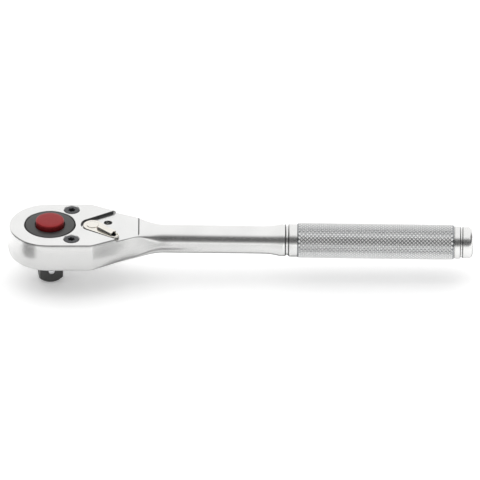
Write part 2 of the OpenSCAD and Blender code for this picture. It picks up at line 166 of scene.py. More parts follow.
def turned(name, profile, steps=96):      # a profile of (radius, height) points spun about Z
    work(None)
    bpy.ops.mesh.primitive_plane_add(size=0.1)
    piece = bpy.context.object
    piece.name = name
    bpy.ops.object.mode_set(mode="EDIT")
    bpy.ops.mesh.select_mode(type="VERT")
    bpy.ops.mesh.merge(type="CENTER")      # one point to draw the profile from
    bpy.ops.transform.translate(value=(profile[0][0], 0, profile[0][1]))
    for a, b in zip(profile, profile[1:]):
        bpy.ops.mesh.extrude_region_move(TRANSFORM_OT_translate={"value": (b[0] - a[0], 0, b[1] - a[1])})
    bpy.ops.mesh.select_all(action="SELECT")
    bpy.ops.mesh.spin(steps=steps, angle=2 * math.pi, center=(0, 0, 0), axis=(0, 0, 1))
    bpy.ops.object.mode_set(mode="OBJECT")
    tidyMesh(piece)
    return piece


def block(name, low, high):      # a plain box, only ever used as a cutting tool or a start
    work(None)
    middle = [(a + b) / 2 for a, b in zip(low, high)]
    bpy.ops.mesh.primitive_cube_add(size=1, location=middle)
    piece = bpy.context.object
    piece.name = name
    piece.scale = [b - a for a, b in zip(low, high)]
    bpy.ops.object.transform_apply(location=True, rotation=True, scale=True)
    return piece


def finished(piece, body, material, replaces=(), sharp=32):
    applyModifier(piece, "TRIANGULATE", quad_method="SHORTEST_DIAGONAL", min_vertices=5)
    piece.data.transform(Matrix.Scale(mm, 4))
    piece.data.materials.clear()
    piece.data.materials.append(material)
    work(piece)
    bpy.ops.object.shade_smooth_by_angle(angle=math.radians(sharp))
    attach(piece, body)
    if replaces:
        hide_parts(*replaces)
    print("made", piece.name, len(piece.data.polygons), "faces")
    return piece


def low(node):
    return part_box(node)[0] / mm


def high(node):
    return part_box(node)[1] / mm


joints = {joint["name"]: joint for joint in frame["joints"]}


def startMaterial(name):
    material = bpy.data.materials.new(name)
    material.use_nodes = True
    return material, material.node_tree.nodes["Principled BSDF"]


# cloudy pattern with a feature size in millimetres
def grain(material, size, stretch=(1, 1, 1), detail=3):
    place = addNode(material, "ShaderNodeTexCoord", {})
    scale = addNode(material, "ShaderNodeMapping", {"Vector": place.outputs["Object"],
                                                    "Scale": [1 / (size * mm * s) for s in stretch]})
    return addNode(material, "ShaderNodeTexNoise", {"Vector": scale.outputs["Vector"], "Scale": 1.0,
                                                    "Detail": detail, "Roughness": 0.55}).outputs["Fac"]


def finish(name, dark, light, metallic, rough, cloud, speck, height, lines=0.0):
    material, shader = startMaterial(name)
    shader.inputs["Metallic"].default_value = metallic
    clouds = grain(material, cloud)
    mix = addNode(material, "ShaderNodeMix",
                  {"Factor": clouds, 6: linearColour(dark), 7: linearColour(light)}, data_type="RGBA")
    material.node_tree.links.new(mix.outputs[2], shader.inputs["Base Color"])
    fine = grain(material, speck)
    level = addNode(material, "ShaderNodeMapRange", {"Value": fine, "From Min": 0.3, "From Max": 0.7,
                                                     "To Min": rough[0], "To Max": rough[1]})
    material.node_tree.links.new(level.outputs["Result"], shader.inputs["Roughness"])
    bump = addNode(material, "ShaderNodeBump", {"Height": fine, "Distance": height * mm})
    if lines:      # faint lengthwise buffing lines
        along = grain(material, 0.35, stretch=(40, 1, 1), detail=2)
        bump = addNode(material, "ShaderNodeBump", {"Height": along, "Distance": lines * mm,
                                                    "Normal": bump.outputs["Normal"]})
    material.node_tree.links.new(bump.outputs["Normal"], shader.inputs["Normal"])
    return material


handle = {"axisZ": 9.14, "droop": 0.9, "shankR": 7.75, "roundFrom": 62.0, "end": 231.0}
grip = {"start": 135.0, "length": 85.7, "radius": 9.72, "depth": 0.55, "around": 29, "along": 41,
        "grooveGrimeAndShade": "#A6A8AA", "grooveReach": 0.15}


def knurlDepth(material):      # 0 in the grooves of the knurl, 1 on its crests
    place = addNode(material, "ShaderNodeTexCoord", {}).outputs["Object"]
    part = addNode(material, "ShaderNodeSeparateXYZ", {"Vector": place}).outputs
    drop = math.tan(math.radians(handle["droop"]))
    level = addNode(material, "ShaderNodeMath", {0: part["X"], 1: drop, 2: part["Z"]},
                    operation="MULTIPLY_ADD")
    upright = addNode(material, "ShaderNodeMath", {0: level.outputs[0], 1: handle["axisZ"] * mm},
                      operation="SUBTRACT")
    spoke = addNode(material, "ShaderNodeCombineXYZ", {"Y": part["Y"], "Z": upright.outputs[0]})
    radius = addNode(material, "ShaderNodeVectorMath", {0: spoke.outputs[0]}, operation="LENGTH")
    return addNode(material, "ShaderNodeMapRange", {
        "Value": radius.outputs["Value"], "From Min": (grip["radius"] - grip["depth"]) * mm,
        "From Max": (grip["radius"] - grip["grooveReach"]) * mm},
        interpolation_type="SMOOTHSTEP").outputs["Result"]


def knurlFinish():
    material = finish("knurled_chrome", "#EAEAE9", "#F8F8F7", 1, (0.2, 0.3), 6, 0.4, 0.002)
    shader = material.node_tree.nodes["Principled BSDF"]
    plate = shader.inputs["Base Color"].links[0].from_socket
    # the knurl's grooves are darkened partly by grime and partly by painted shade
    groove = linearColour(grip["grooveGrimeAndShade"])
    mix = addNode(material, "ShaderNodeMix", {"Factor": knurlDepth(material), 6: groove, 7: plate},
                  data_type="RGBA")
    material.node_tree.links.new(mix.outputs[2], shader.inputs["Base Color"])
    return material


# satin chrome over a beaded and buffed forging: a soft white sheen with faint lengthwise lines
satinChrome = finish("satin_chrome", "#E6E6E5", "#F3F3F2", 1, (0.2, 0.28), 14, 0.4, 0.002, 0.0012)
# the same plate over cut knurling: bright rubbed crests, grooves darker partly from grime and partly from
# painted shade
knurlChrome = knurlFinish()
# painted shade, a dull dark grey: the milled step, the walls of the turned grooves, the upright wall round
# the lever, the lever's foot and the inside of its mouth
paintedShadeEdge = finish("painted_shade_edge", "#4A4A4B", "#5A5A5B", 0.9, (0.35, 0.45), 2, 0.3, 0.004)
# polished chrome over a stamping: a clear mirror, faintly warm
brightChrome = finish("bright_chrome", "#E9E5DC", "#F6F3EC", 1, (0.1, 0.16), 5, 0.5, 0.001)
# black oxide on a machined screw: dark, oily, a little glossy on its turning marks
blackOxide = finish("black_oxide", "#4C4D4F", "#5D5E60", 0.8, (0.32, 0.45), 1, 0.3, 0.004)
# manganese phosphate on alloy steel: dull dark grey with a fine crystalline grain
driveSteel = finish("drive_steel", "#4B4B4B", "#5E5E5D", 0.75, (0.36, 0.5), 0.8, 0.4, 0.006)
# dark red anodised aluminium, bead blasted: a satin metallic red
redAnodised = finish("red_anodised", "#8A1B1F", "#A2272A", 0.55, (0.3, 0.4), 1.2, 0.4, 0.003)
# ground and hardened steel, bright and fine
groundSteel = finish("ground_steel", "#B9BABD", "#D6D7D9", 1, (0.14, 0.22), 1, 0.3, 0.001)
# polished bearing steel: a bright clean ball
ballSteel = finish("ball_steel", "#E6E7E9", "#F5F5F6", 1, (0.08, 0.13), 1, 0.3, 0.0005)
# drawn spring wire with a blue-grey temper skin
springSteel = finish("spring_steel", "#70757C", "#8B9098", 1, (0.25, 0.38), 1, 0.3, 0.002)
# sintered bronze, oil filled: brown gold and open grained
bronze = finish("bronze", "#7E5A2E", "#A47C45", 0.9, (0.35, 0.5), 1, 0.4, 0.008)
# black nitrile rubber, moulded: dull, faintly greasy
sealRubber = finish("seal_rubber", "#101011", "#1B1B1C", 0, (0.5, 0.65), 1, 0.3, 0.004)

carried = {"thrust_washer": bronze, "release_plunger": groundSteel, "release_spring": springSteel,
           "locking_ball": ballSteel, "pawl_left": groundSteel, "pawl_right": groundSteel,
           "pawl_spring_left": springSteel, "pawl_spring_right": springSteel, "seal_ring": sealRubber,
           "selector_seal_ring": sealRubber, "lower_seal_ring": sealRubber, "detent_ball": ballSteel,
           "detent_spring": springSteel}
for name, material in carried.items():
    frame["nodes"][name].data.materials.clear()
    frame["nodes"][name].data.materials.append(material)
print("materials ready")


head = {"halfWidth": 22.82, "crown": 1.4, "noseX": -0.7, "underRound": 1.6, "underSwell": 1.9,
        "shoulderRound": 6.0, "flankAngle": 26.5, "flankX": 40.6, "flankY": 13.9, "neckRound": 35.0,
        "neckHalf": 7.78, "leverFloor": 1.6, "neckStep": 0.32, "stepX": 48.5, "edge": 0.9, "shadedWallEnd": 34.6,
        "notchAngle": 31.2, "notchR": 6.5}
head["top"] = high("cover_plate").z
head["seat"] = low("cover_plate").z
head["floor"] = head["top"] - head["leverFloor"]
head["neckTop"] = head["floor"] + head["neckStep"]


def headOutline():      # one side of the head from nose to neck, as (x, y, outward x, outward y)
    flank = math.radians(head["flankAngle"])
    side = head["halfWidth"]
    cornerX = head["flankX"] - (side - head["flankY"]) / math.tan(flank)
    shoulder = (cornerX - head["shoulderRound"] * math.tan(flank / 2), side - head["shoulderRound"])
    neckX = head["flankX"] + (head["flankY"] - head["neckHalf"]) / math.tan(flank)
    neck = (neckX + head["neckRound"] * math.tan(flank / 2), head["neckHalf"] + head["neckRound"])
    points = []
    nose, straight, bend, run, turn = 44, 14, 10, 16, 14      # how many steps each stretch is drawn in
    for i in range(nose + 1):
        a = math.pi - math.pi / 2 * i / nose
        points.append((head["noseX"] + side * math.cos(a), side * math.sin(a), math.cos(a), math.sin(a)))
    for i in range(1, straight):
        points.append((between(head["noseX"], shoulder[0], i / straight), side, 0, 1))
    for i in range(bend + 1):
        a = math.pi / 2 - flank * i / bend
        points.append((shoulder[0] + head["shoulderRound"] * math.cos(a),
                       shoulder[1] + head["shoulderRound"] * math.sin(a), math.cos(a), math.sin(a)))
    start = points[-1]
    out = (math.sin(flank), math.cos(flank))
    end = (neck[0] - head["neckRound"] * out[0], neck[1] - head["neckRound"] * out[1])
    for i in range(1, run):
        points.append((between(start[0], end[0], i / run), between(start[1], end[1], i / run), *out))
    for i in range(turn + 1):
        a = flank * (1 - i / turn)
        points.append((neck[0] - head["neckRound"] * math.sin(a), neck[1] - head["neckRound"] * math.cos(a),
                       math.sin(a), math.cos(a)))
    return points


def crownInset(z):
    half = head["top"] / 2
    radius = (half ** 2 + head["crown"] ** 2) / (2 * head["crown"])
    return radius - math.sqrt(radius ** 2 - (z - half) ** 2)


shankProfile = ([(62, 7.75), (66, 7.75), (75, 7.71), (84, 7.68), (100, 7.63), (116, 7.6), (118, 7.67),
                 (120, 7.8), (121.5, 7.97), (123, 8.22), (124.4, 8.5), (125.6, 8.74)]
                + arc((127.0, 7.42), 1.46, 110, 62, 6) + arc((128.1, 8.35), 0.45, 60, 0, 4)
                + arc((129.5, 9.0), 0.95, 190, 270, 7))


def axisZ(x):
    return handle["axisZ"] - x * math.tan(math.radians(handle["droop"]))


def section(x, y, nx, ny):      # one side's section from the bottom centre round to the top centre
    ease = smooth(46, handle["roundFrom"], x)
    bottom = between(0, axisZ(x) - handle["shankR"], smooth(30, 60, x))
    top = between(head["neckTop"], axisZ(x) + handle["shankR"], smooth(52, handle["roundFrom"], x))
    half = (top - bottom) / 2
    under = head["underRound"] + smooth(18, 46, x) * head["underSwell"]
    lowWide, lowHigh = between(under, y, ease), between(under, half, ease)
    edge = head["edge"]
    topWide, topHigh = between(edge, y, ease), between(edge, half, ease)
    crowned = 1 - smooth(34, 56, x)
    path = []
    for i in range(10):
        a = math.radians(-90 + 9 * i)
        path.append((lowWide * (1 - math.cos(a)), bottom + lowHigh * (1 + math.sin(a))))
    start, end = bottom + lowHigh, top - topHigh
    path += [(0, between(start, end, i / 6)) for i in range(7)]
    for i in range(1, 11):
        a = math.radians(9 * i)
        path.append((topWide * (1 - math.cos(a)), end + topHigh * math.sin(a)))
    path = [(inset + crowned * crownInset(min(z, head["top"])), z) for inset, z in path]
    rim = [(x - nx * inset, y - ny * inset, z) for inset, z in path]
    inner = head["noseX"] if x < head["noseX"] else None
    ends = []
    for px, py, pz in (rim[0], rim[-1]):
        cx = px if inner is None else inner
        ends.append([(between(cx, px, i / 5), between(0, py, i / 5), pz) for i in range(5)])
    return ends[0] + rim + ends[1][::-1]


def roundSection(x, radius, like):      # a circle with as many points as the head's sections have
    rim = [(x, radius * math.cos(math.radians(-90 + 9 * i)), radius * math.sin(math.radians(-90 + 9 * i)))
           for i in range(10)]
    rim += [(x, radius, 0)] * 7
    rim += [(x, radius * math.cos(math.radians(9 * i)), radius * math.sin(math.radians(9 * i)))
            for i in range(1, 11)]
    rim = [rim[0]] * 5 + rim + [rim[-1]] * 5
    rings = []
    lean = math.radians(handle["droop"])
    for px, py, pz in rim:
        rings.append((px * math.cos(lean) + pz * math.sin(lean), py,
                      handle["axisZ"] - px * math.sin(lean) + pz * math.cos(lean)))
    return rings[:like]


def notchOutline(grow=0.0):      # the V that the lever swings in, rounded about the lever's pivot
    pivot = joints["lever_swing"]["pos_m"][0] / mm
    slant = head["notchAngle"]
    radius = head["notchR"] + grow
    reach = 40
    shadeEnd = head["shadedWallEnd"] - pivot      # the wall is split where its painted shade ends
    lean = math.radians(slant)
    ends = [radius / math.cos(lean) + along * math.tan(lean) for along in (reach, shadeEnd)]
    return ([(pivot + reach, -ends[0]), (pivot + reach, ends[0]), (pivot + shadeEnd, ends[1])]
            + arc((pivot, 0), radius, 90 + slant, 270 - slant, 40) + [(pivot + shadeEnd, -ends[1])])


screw = {"x": 11.8, "y": 15.2, "headR": 4.0, "shankR": 2.0, "recessR": 2.0, "recessDepth": 1.9}


def makeForging():
    outline = headOutline()
    rows = [section(*point) for point in outline]
    rows += [roundSection(x, radius, len(rows[0])) for x, radius in shankProfile]
    body = wrapped("forged_body", rows, closed=False)
    applyModifier(body, "MIRROR", use_axis=(False, True, False), use_clip=True, merge_threshold=0.002)
    tidyMesh(body)
    bpy.ops.object.mode_set(mode="EDIT")
    bpy.ops.mesh.select_all(action="SELECT")
    bpy.ops.mesh.fill_holes(sides=0)
    bpy.ops.mesh.normals_make_consistent(inside=False)
    bpy.ops.object.mode_set(mode="OBJECT")
    seat = block("seat", (-40, -40, head["seat"]), (62, 40, 30))
    shape(seat, prism("island", notchOutline(), [(head["seat"] - 2, 0), (32, 0)]))
    shape(body, seat)
    pivot = joints["lever_swing"]["pos_m"][0] / mm
    floorTool = block("floor", (pivot - 12, -30, head["floor"]), (head["stepX"], 30, 30))
    work(floorTool)
    for vertex in floorTool.data.vertices:      # the milled step leans a little
        if vertex.co.x > pivot and vertex.co.z < 20:
            vertex.co.x -= 0.3
        elif vertex.co.x > pivot:
            vertex.co.x += 30
    shape(body, floorTool)
    chamber = chamberTool()
    shape(body, chamber)
    for radius, x, y, bottom, top in ((9.55, 0, 0, -1, 6), (4.7, pivot, 0, 11, 30), (2.05, pivot, 0, 1.6, 6),
                                      (2.02, screw["x"], screw["y"], 0.8, 6),
                                      (2.02, screw["x"], -screw["y"], 0.8, 6)):
        hole = turned("hole", [(0, bottom), (radius, bottom), (radius, top), (0, top)], 64)
        hole.data.transform(Matrix.Translation((x, y, 0)))
        shape(body, hole)
    oil = turned("oil", [(0, 8.4), (2.25, 8.4), (2.25, head["floor"] - 0.15), (2.6, head["floor"] + 0.2),
                         (2.6, 20), (0, 20)], 48)
    oil.data.transform(Matrix.Translation((31.7, 4.4, 0)))
    shape(body, oil)
    body = finished(body, "wrench", satinChrome, ["ratchet_body"])
    body.data.materials.append(paintedShadeEdge)
    for face in body.data.polygons:      # painted shade on the step at the end of the milled floor
        if abs(face.center.x - head["stepX"] * mm) < 1 * mm and -0.8 < face.normal.x < -0.2 < face.normal.z:
            if face.center.z > head["floor"] * mm - 0.0001:
                face.material_index = 1
    shadeGrooveWalls(body, 127.6, 129.4)
    return body


def chamberTool():      # wheel and pawl chamber
    tool = turned("chamber", [(0, 4), (15.7, 4), (15.7, 20), (0, 20)], 96)
    for side in (-1, 1):
        hub = turned("hub", [(0, 4), (3.75, 4), (3.75, 20), (0, 20)], 48)
        hub.data.transform(Matrix.Translation((screw["x"], screw["y"] * side, 0)))
        shape(tool, hub, "UNION")
        room = [(10, -0.1), (28.8, -0.1), (28.8, 10.2), (22, 10.2), (15.6, 16.4), (9, 17)]
        shape(tool, prism("room", [(x, y * side) for x, y in room], [(4, 0), (20, 0)]), "UNION")
    roof = prism("roof", notchOutline(1), [(12.4, 0), (30, 0)])
    shape(tool, roof)
    return tool


def shadeGrooveWalls(piece, first, last):      # painted shade on the steep walls of the turned grooves
    piece.data.materials.append(paintedShadeEdge)
    for face in piece.data.polygons:
        if first * mm < face.center.x < last * mm and abs(face.normal.x) > 0.7:
            face.material_index = len(piece.data.materials) - 1


def makeHandleTurning(name, profile):      # a turned length of the handle on its drooping axis
    piece = turned(name, [(r, s) for s, r in profile], 128)
    turnMesh(piece, 90, "Y")
    turnMesh(piece, handle["droop"], "Y")
    piece.data.transform(Matrix.Translation((0, 0, handle["axisZ"])))
    finished(piece, "wrench", satinChrome)
    shadeGrooveWalls(piece, profile[0][0] - 0.1, min(profile[-1][0], handle["end"] - 3.5))


def makeGrip():      # a cylinder of crossed V grooves: every second corner of a grid stands up
    columns, rows = grip["around"] * 2, grip["along"] * 2
    rings = [[(s, r * math.sin(2 * math.pi * j / columns), r * math.cos(2 * math.pi * j / columns))
              for j in range(columns)]
             for s, r in ((grip["start"], 0), (grip["start"], 8.9), (grip["start"] + 0.25, 9.2))]
    step = (grip["length"] - 0.6) / rows
    for i in range(rows + 1):
        s = grip["start"] + 0.3 + i * step
        ring = []
        for j in range(columns):
            radius = grip["radius"] + 0.06
            if (i + j) % 2 == 0 or i in (0, rows):
                radius = grip["radius"] - grip["depth"]
            turn = 2 * math.pi * j / columns
            ring.append((s, radius * math.sin(turn), radius * math.cos(turn)))
        rings.append(ring)
    end = grip["start"] + grip["length"]
    rings += [[(s, r * math.sin(2 * math.pi * j / columns), r * math.cos(2 * math.pi * j / columns))
               for j in range(columns)] for s, r in ((end - 0.05, 9.1), (end, 8.9), (end, 0))]
    piece = wrapped("knurled_grip", rings)
    work(piece)
    for vertex in piece.data.vertices:      # the crests, to be blunted
        vertex.select = math.hypot(vertex.co.y, vertex.co.z) > grip["radius"]
    bpy.ops.object.mode_set(mode="EDIT")
    bpy.ops.mesh.select_mode(type="VERT")
    bpy.ops.mesh.bevel(affect="VERTICES", offset=0.3, segments=1, offset_type="OFFSET")
    bpy.ops.mesh.select_all(action="SELECT")
    bpy.ops.mesh.quads_convert_to_tris(quad_method="SHORTEST_DIAGONAL", ngon_method="BEAUTY")
    bpy.ops.object.mode_set(mode="OBJECT")
    turnMesh(piece, handle["droop"], "Y")
    piece.data.transform(Matrix.Translation((0, 0, handle["axisZ"])))
    return finished(piece, "wrench", knurlChrome, sharp=12)


makeForging()
gripEnd = grip["start"] + grip["length"]
makeHandleTurning("handle_collar", [(129.5, 0)] + arc((129.5, 9.0), 0.95, 270, 350, 7)
                  + arc((130.95, 8.5), 0.5, 180, 90, 5) + [(134.6, 9.0), (135.0, 8.85), (135.0, 0)])
makeHandleTurning("handle_end", [(gripEnd, 0), (gripEnd, 8.35), (gripEnd + 0.35, 8.4), (gripEnd + 0.5, 8.85)]
                  + arc((gripEnd + 3.0, 8.5), 0.45, 90, 0, 5) + arc((gripEnd + 4.1, 8.8), 0.75, 190, 350, 12)
                  + arc((gripEnd + 5.2, 8.15), 0.45, 180, 90, 5)
                  + arc((handle["end"] - 2.6, 6.05), 2.6, 90, 10, 12)
                  + [(handle["end"], 5.05), (handle["end"], 0)])
makeGrip()


def makeCover():
    side = headOutline()
    loop = side + [(x, -y, nx, -ny) for x, y, nx, ny in side[::-1][:-1]]
    rings = []
    bend = head["edge"]
    rounded = [(head["top"] - bend + bend * math.sin(a), bend - bend * math.cos(a))
               for a in (math.radians(15 * i) for i in range(7))]
    for z, inset in [(head["seat"] + 0.02, 0), (head["seat"] + 0.9, 0)] + rounded:
        inset += crownInset(z)
        rings.append([(x - nx * inset, y - ny * inset, z) for x, y, nx, ny in loop])
    cover = wrapped("cover", rings)
    top = head["top"]
    shape(cover, prism("notch", notchOutline(), [(top - 6, 0), (top - 0.12, 0), (top + 0.12, 0.24),
                                                 (top + 3, 0.24)]))
    bore = turned("bore", [(0, 8), (14.1, 8), (14.1, top - 0.2), (14.45, top + 0.15), (14.45, 24),
                           (0, 24)], 160)
    shape(cover, bore)
    for y in (-screw["y"], screw["y"]):
        sink = turned("sink", [(0, 8), (2.1, 8), (2.1, top - 2.3), (4.25, top - 0.3), (4.55, top + 0.02),
                               (4.55, 24), (0, 24)], 64)
        sink.data.transform(Matrix.Translation((screw["x"], y, 0)))
        shape(cover, sink)
    cover = finished(cover, "wrench", satinChrome, ["cover_plate"])
    cover.data.materials.append(paintedShadeEdge)
    pivot = joints["lever_swing"]["pos_m"][0]
    for face in cover.data.polygons:      # painted shade on the upright edge round the lever
        upright = abs(face.normal.z) < 0.2 and pivot - 7 * mm < face.center.x < head["shadedWallEnd"] * mm
        if upright and face.normal.x * abs(face.center.x - pivot) - face.normal.y * face.center.y * 3 > 0:
            face.material_index = 1
    return cover


makeCover()


def makeScrew():
    top = high("pawl_screws").z
    foot = low("pawl_screws").z
    profile = [(0, foot), (screw["shankR"] - 0.3, foot), (screw["shankR"], foot + 0.3),
               (screw["shankR"], top - 2.1), (screw["headR"] - 0.1, top - 0.35), (screw["headR"], top - 0.2),
               (screw["headR"] - 0.12, top - 0.03), (screw["headR"] - 0.3, top), (0, top)]
    piece = turned("cover_screw_left", profile, 72)
    lobes = []
    for i in range(72):
        a = math.radians(i * 5)
        r = screw["recessR"] * (1 - 0.13 * (1 - math.cos(6 * a)))
        lobes.append((r * math.cos(a), r * math.sin(a)))
    shape(piece, prism("recess", lobes, [(top - screw["recessDepth"], -0.25), (top - 0.15, 0),
                                         (top + 0.15, 0.2), (top + 1, 0.2)]))
    return piece


firstScrew = makeScrew()
secondScrew = firstScrew.copy()
secondScrew.data = firstScrew.data.copy()
secondScrew.name = "cover_screw_right"
bpy.context.collection.objects.link(secondScrew)
for piece, y, angle in ((firstScrew, screw["y"], 12), (secondScrew, -screw["y"], 40)):
    turnMesh(piece, angle, "Z")
    piece.data.transform(Matrix.Translation((screw["x"], y, 0)))
finished(firstScrew, "wrench", blackOxide, ["pawl_screws"])
finished(secondScrew, "wrench", blackOxide)


drive = {"square": 12.7, "length": 16.2, "turn": 8.3, "teeth": 36, "tipR": 15.3, "rootR": 14.2,
         "faceR": 13.4, "flangeR": 14.05, "buttonWell": 7.95, "wellMouth": 8.35, "ballZ": 9.1}


def makeWheel():
    face = head["top"] - 0.05
    profile = [(0, 4.5), (9.5, 4.5), (9.5, 14.0), (drive["flangeR"], 14.0), (drive["flangeR"], 15.9),
               (drive["flangeR"] - 0.1, 16.0), (drive["faceR"], 16.0), (drive["faceR"], face - 0.25),
               (drive["faceR"] - 0.1, face - 0.07), (drive["faceR"] - 0.3, face), (0, face)]
    wheel = turned("drive_wheel", profile, 160)
    outline = []
    for i in range(drive["teeth"]):
        middle = 10 * (i + 0.5)
        for r, a in ((drive["rootR"], -3.9), (drive["tipR"], -1.3), (drive["tipR"], 1.3),
                     (drive["rootR"], 3.9)):
            outline.append((r * math.cos(math.radians(middle + a)), r * math.sin(math.radians(middle + a))))
    shape(wheel, prism("teeth", outline, [(4.5, -0.2), (4.7, 0), (14.0, 0), (14.2, -0.2)]), "UNION")
    shape(wheel, turned("journal", [(0, 0.2), (9.3, 0.2), (9.5, 0.4), (9.5, 6), (0, 6)], 128), "UNION")
    half = drive["square"] / 2
    square = block("square", (-half, -half, -drive["length"]), (half, half, 2))
    work(square)
    bpy.ops.object.mode_set(mode="EDIT")
    bpy.ops.mesh.select_mode(type="EDGE")
    bpy.ops.mesh.select_all(action="DESELECT")
    bpy.ops.object.mode_set(mode="OBJECT")
    for edge in square.data.edges:      # the four upright edges
        a, b = (square.data.vertices[i].co for i in edge.vertices)
        edge.select = abs(a.z - b.z) > 1
    bpy.ops.object.mode_set(mode="EDIT")
    bpy.ops.mesh.bevel(offset=0.9, segments=6, affect="EDGES")
    bpy.ops.object.mode_set(mode="OBJECT")
    foot = -drive["length"]
    crown = turned("crown", [(0, foot), (half - 0.6, foot), (half - 0.1, foot + 0.35),
                             (half + 2.6, foot + 3.2), (half + 2.6, 4), (0, 4)], 128)
    shape(square, crown, "INTERSECT")
    turnMesh(square, drive["turn"], "Z")
    shape(wheel, square, "UNION")
    for r, bottom in ((drive["wellMouth"], face - 1.0), (drive["buttonWell"], 10), (5.2, 3.6),
                      (3.0, 2.3 - drive["length"])):
        shape(wheel, turned("well", [(0, bottom), (r, bottom), (r, 24), (0, 24)], 128))
    ball = turned("ball_hole", [(0, 0), (2.29, 0), (2.29, 5.5), (1.99, half - 0.25), (2.25, half + 0.05),
                                (2.25, 8), (0, 8)], 64)
    turnMesh(ball, 90, "Y")
    ball.data.transform(Matrix.Translation((0, 0, -drive["ballZ"])))
    turnMesh(ball, drive["turn"] - 90, "Z")
    shape(wheel, ball)
    return finished(wheel, "drive", driveSteel, ["drive_gear"])


makeWheel()


def makeButton():
    radius, top, bottom = 7.8, high("release_button").z, low("release_button").z
    profile = ([(1.52, bottom), (2.6, bottom), (2.6, 16), (5, 16), (5, bottom), (radius - 0.3, bottom),
                (radius, bottom + 0.3)] + arc((radius - 0.9, top - 1.0), 0.9, 0, 80, 10)
               + [(5, top - 0.05), (2.5, top - 0.01), (0, top), (0, 17.4), (1.52, 17.4), (1.52, bottom)])
    button = turned("release_button_cap", profile, 128)
    return finished(button, "button", redAnodised, ["release_button"])


makeButton()


lever = {"length": 18.6, "hubR": 5.2, "tipR": 2.6, "thick": 1.25, "swing": -42.0, "barHigh": 2.0,
         "barHalf": 2.2, "mouthFrom": 11.8, "mouthR": 1.4, "lipR": 2.15, "lipWire": 0.55,
         "paintedShadowLine": 0.5}


def barRing(x, half, high):      # the bar's section: upright sides, rounded shoulders and a flat top
    top = lever["thick"] + high
    bend = min(0.95, high)
    shoulder = arc((half - bend, top - bend), bend, 0, 90, 6)
    foot = lever["thick"] - 0.4
    return ([(x, half, foot)] + [(x, y, z) for y, z in shoulder]
            + [(x, -y, z) for y, z in shoulder[::-1]] + [(x, -half, foot)])


# from the lever's own frame, pivot at the origin, to its place at rest
leverPlace = (Matrix.Translation((joints["lever_swing"]["pos_m"][0] / mm, 0, head["floor"] + 0.05))
              @ Matrix.Rotation(math.radians(lever["swing"]), 4, "Z"))


def makeLever():
    reach = lever["length"] - lever["tipR"]
    slant = math.degrees(math.asin((lever["hubR"] - lever["tipR"]) / reach))
    outline = (arc((0, 0), lever["hubR"], 90 - slant, 270 + slant, 48)
               + arc((reach, 0), lever["tipR"], -90 + slant, 90 - slant, 20))
    thick = lever["thick"]
    plate = prism("thumb_lever", outline, [(0, -0.1), (0.1, 0), (lever["paintedShadowLine"], 0), (thick - 0.3, 0),
                                           (thick - 0.08, -0.1), (thick, -0.3)])
    half, high = lever["barHalf"], lever["barHigh"]
    bar = wrapped("bar", [barRing(4.2, half - 0.7, 0.5), barRing(4.5, half - 0.35, 1.2),
                          barRing(5.1, half - 0.1, high - 0.2), barRing(6, half, high),
                          barRing(14.9, half, high), barRing(15.4, half - 0.15, high - 0.2)])
    shape(plate, bar, "UNION")
    wire = [(lever["lipR"] + lever["lipWire"] * math.cos(a), thick + lever["lipWire"] * math.sin(a))
            for a in (i * math.pi / 8 for i in range(17))]
    lip = turned("lip", wire, 48)
    lip.data.transform(Matrix.Translation((reach, 0, -0.05)))
    shape(lip, block("behind", (0, -6, -6), (reach + 0.2, 6, 6)))
    shape(plate, lip, "UNION")
    start, radius = lever["mouthFrom"], lever["mouthR"]
    mouth = turned("mouth", [(0, start), (radius - 0.3, start), (radius, start + 0.3), (radius, 20),
                             (0, 20)], 40)
    turnMesh(mouth, 90, "Y")
    mouth.data.transform(Matrix.Translation((0, 0, thick + 0.5)))
    shape(mouth, block("beyond", (16.6, -3, -3), (22, 3, 6)))
    shape(plate, mouth)
    shape(plate, block("shaft_hole", (-2.05, -2.05, -1), (2.05, 2.05, 6)))
    plate.data.transform(leverPlace)
    finished(plate, "selector", brightChrome, ["reversing_lever"])
    plate.data.materials.append(paintedShadeEdge)
    back = leverPlace.inverted()
    for face in plate.data.polygons:      # painted shade on the plate's foot and the inside of the mouth
        x, y, z = back @ (face.center / mm)
        foot = z < lever["paintedShadowLine"] and abs(face.normal.z) < 0.5
        throat = start - 0.05 < x < start + 3.6 and math.hypot(y, z - thick - 0.5) < radius + 0.03
        if foot or throat:
            face.material_index = 1


makeLever()

shaft = {"radius": 2.0, "camR": 3.45, "camOut": 1.2, "journalR": 4.65, "sealSeatR": 4.0, "domeR": 3.3,
         "square": 4.0, "detentZ": 13.75, "detentR": 0.95}


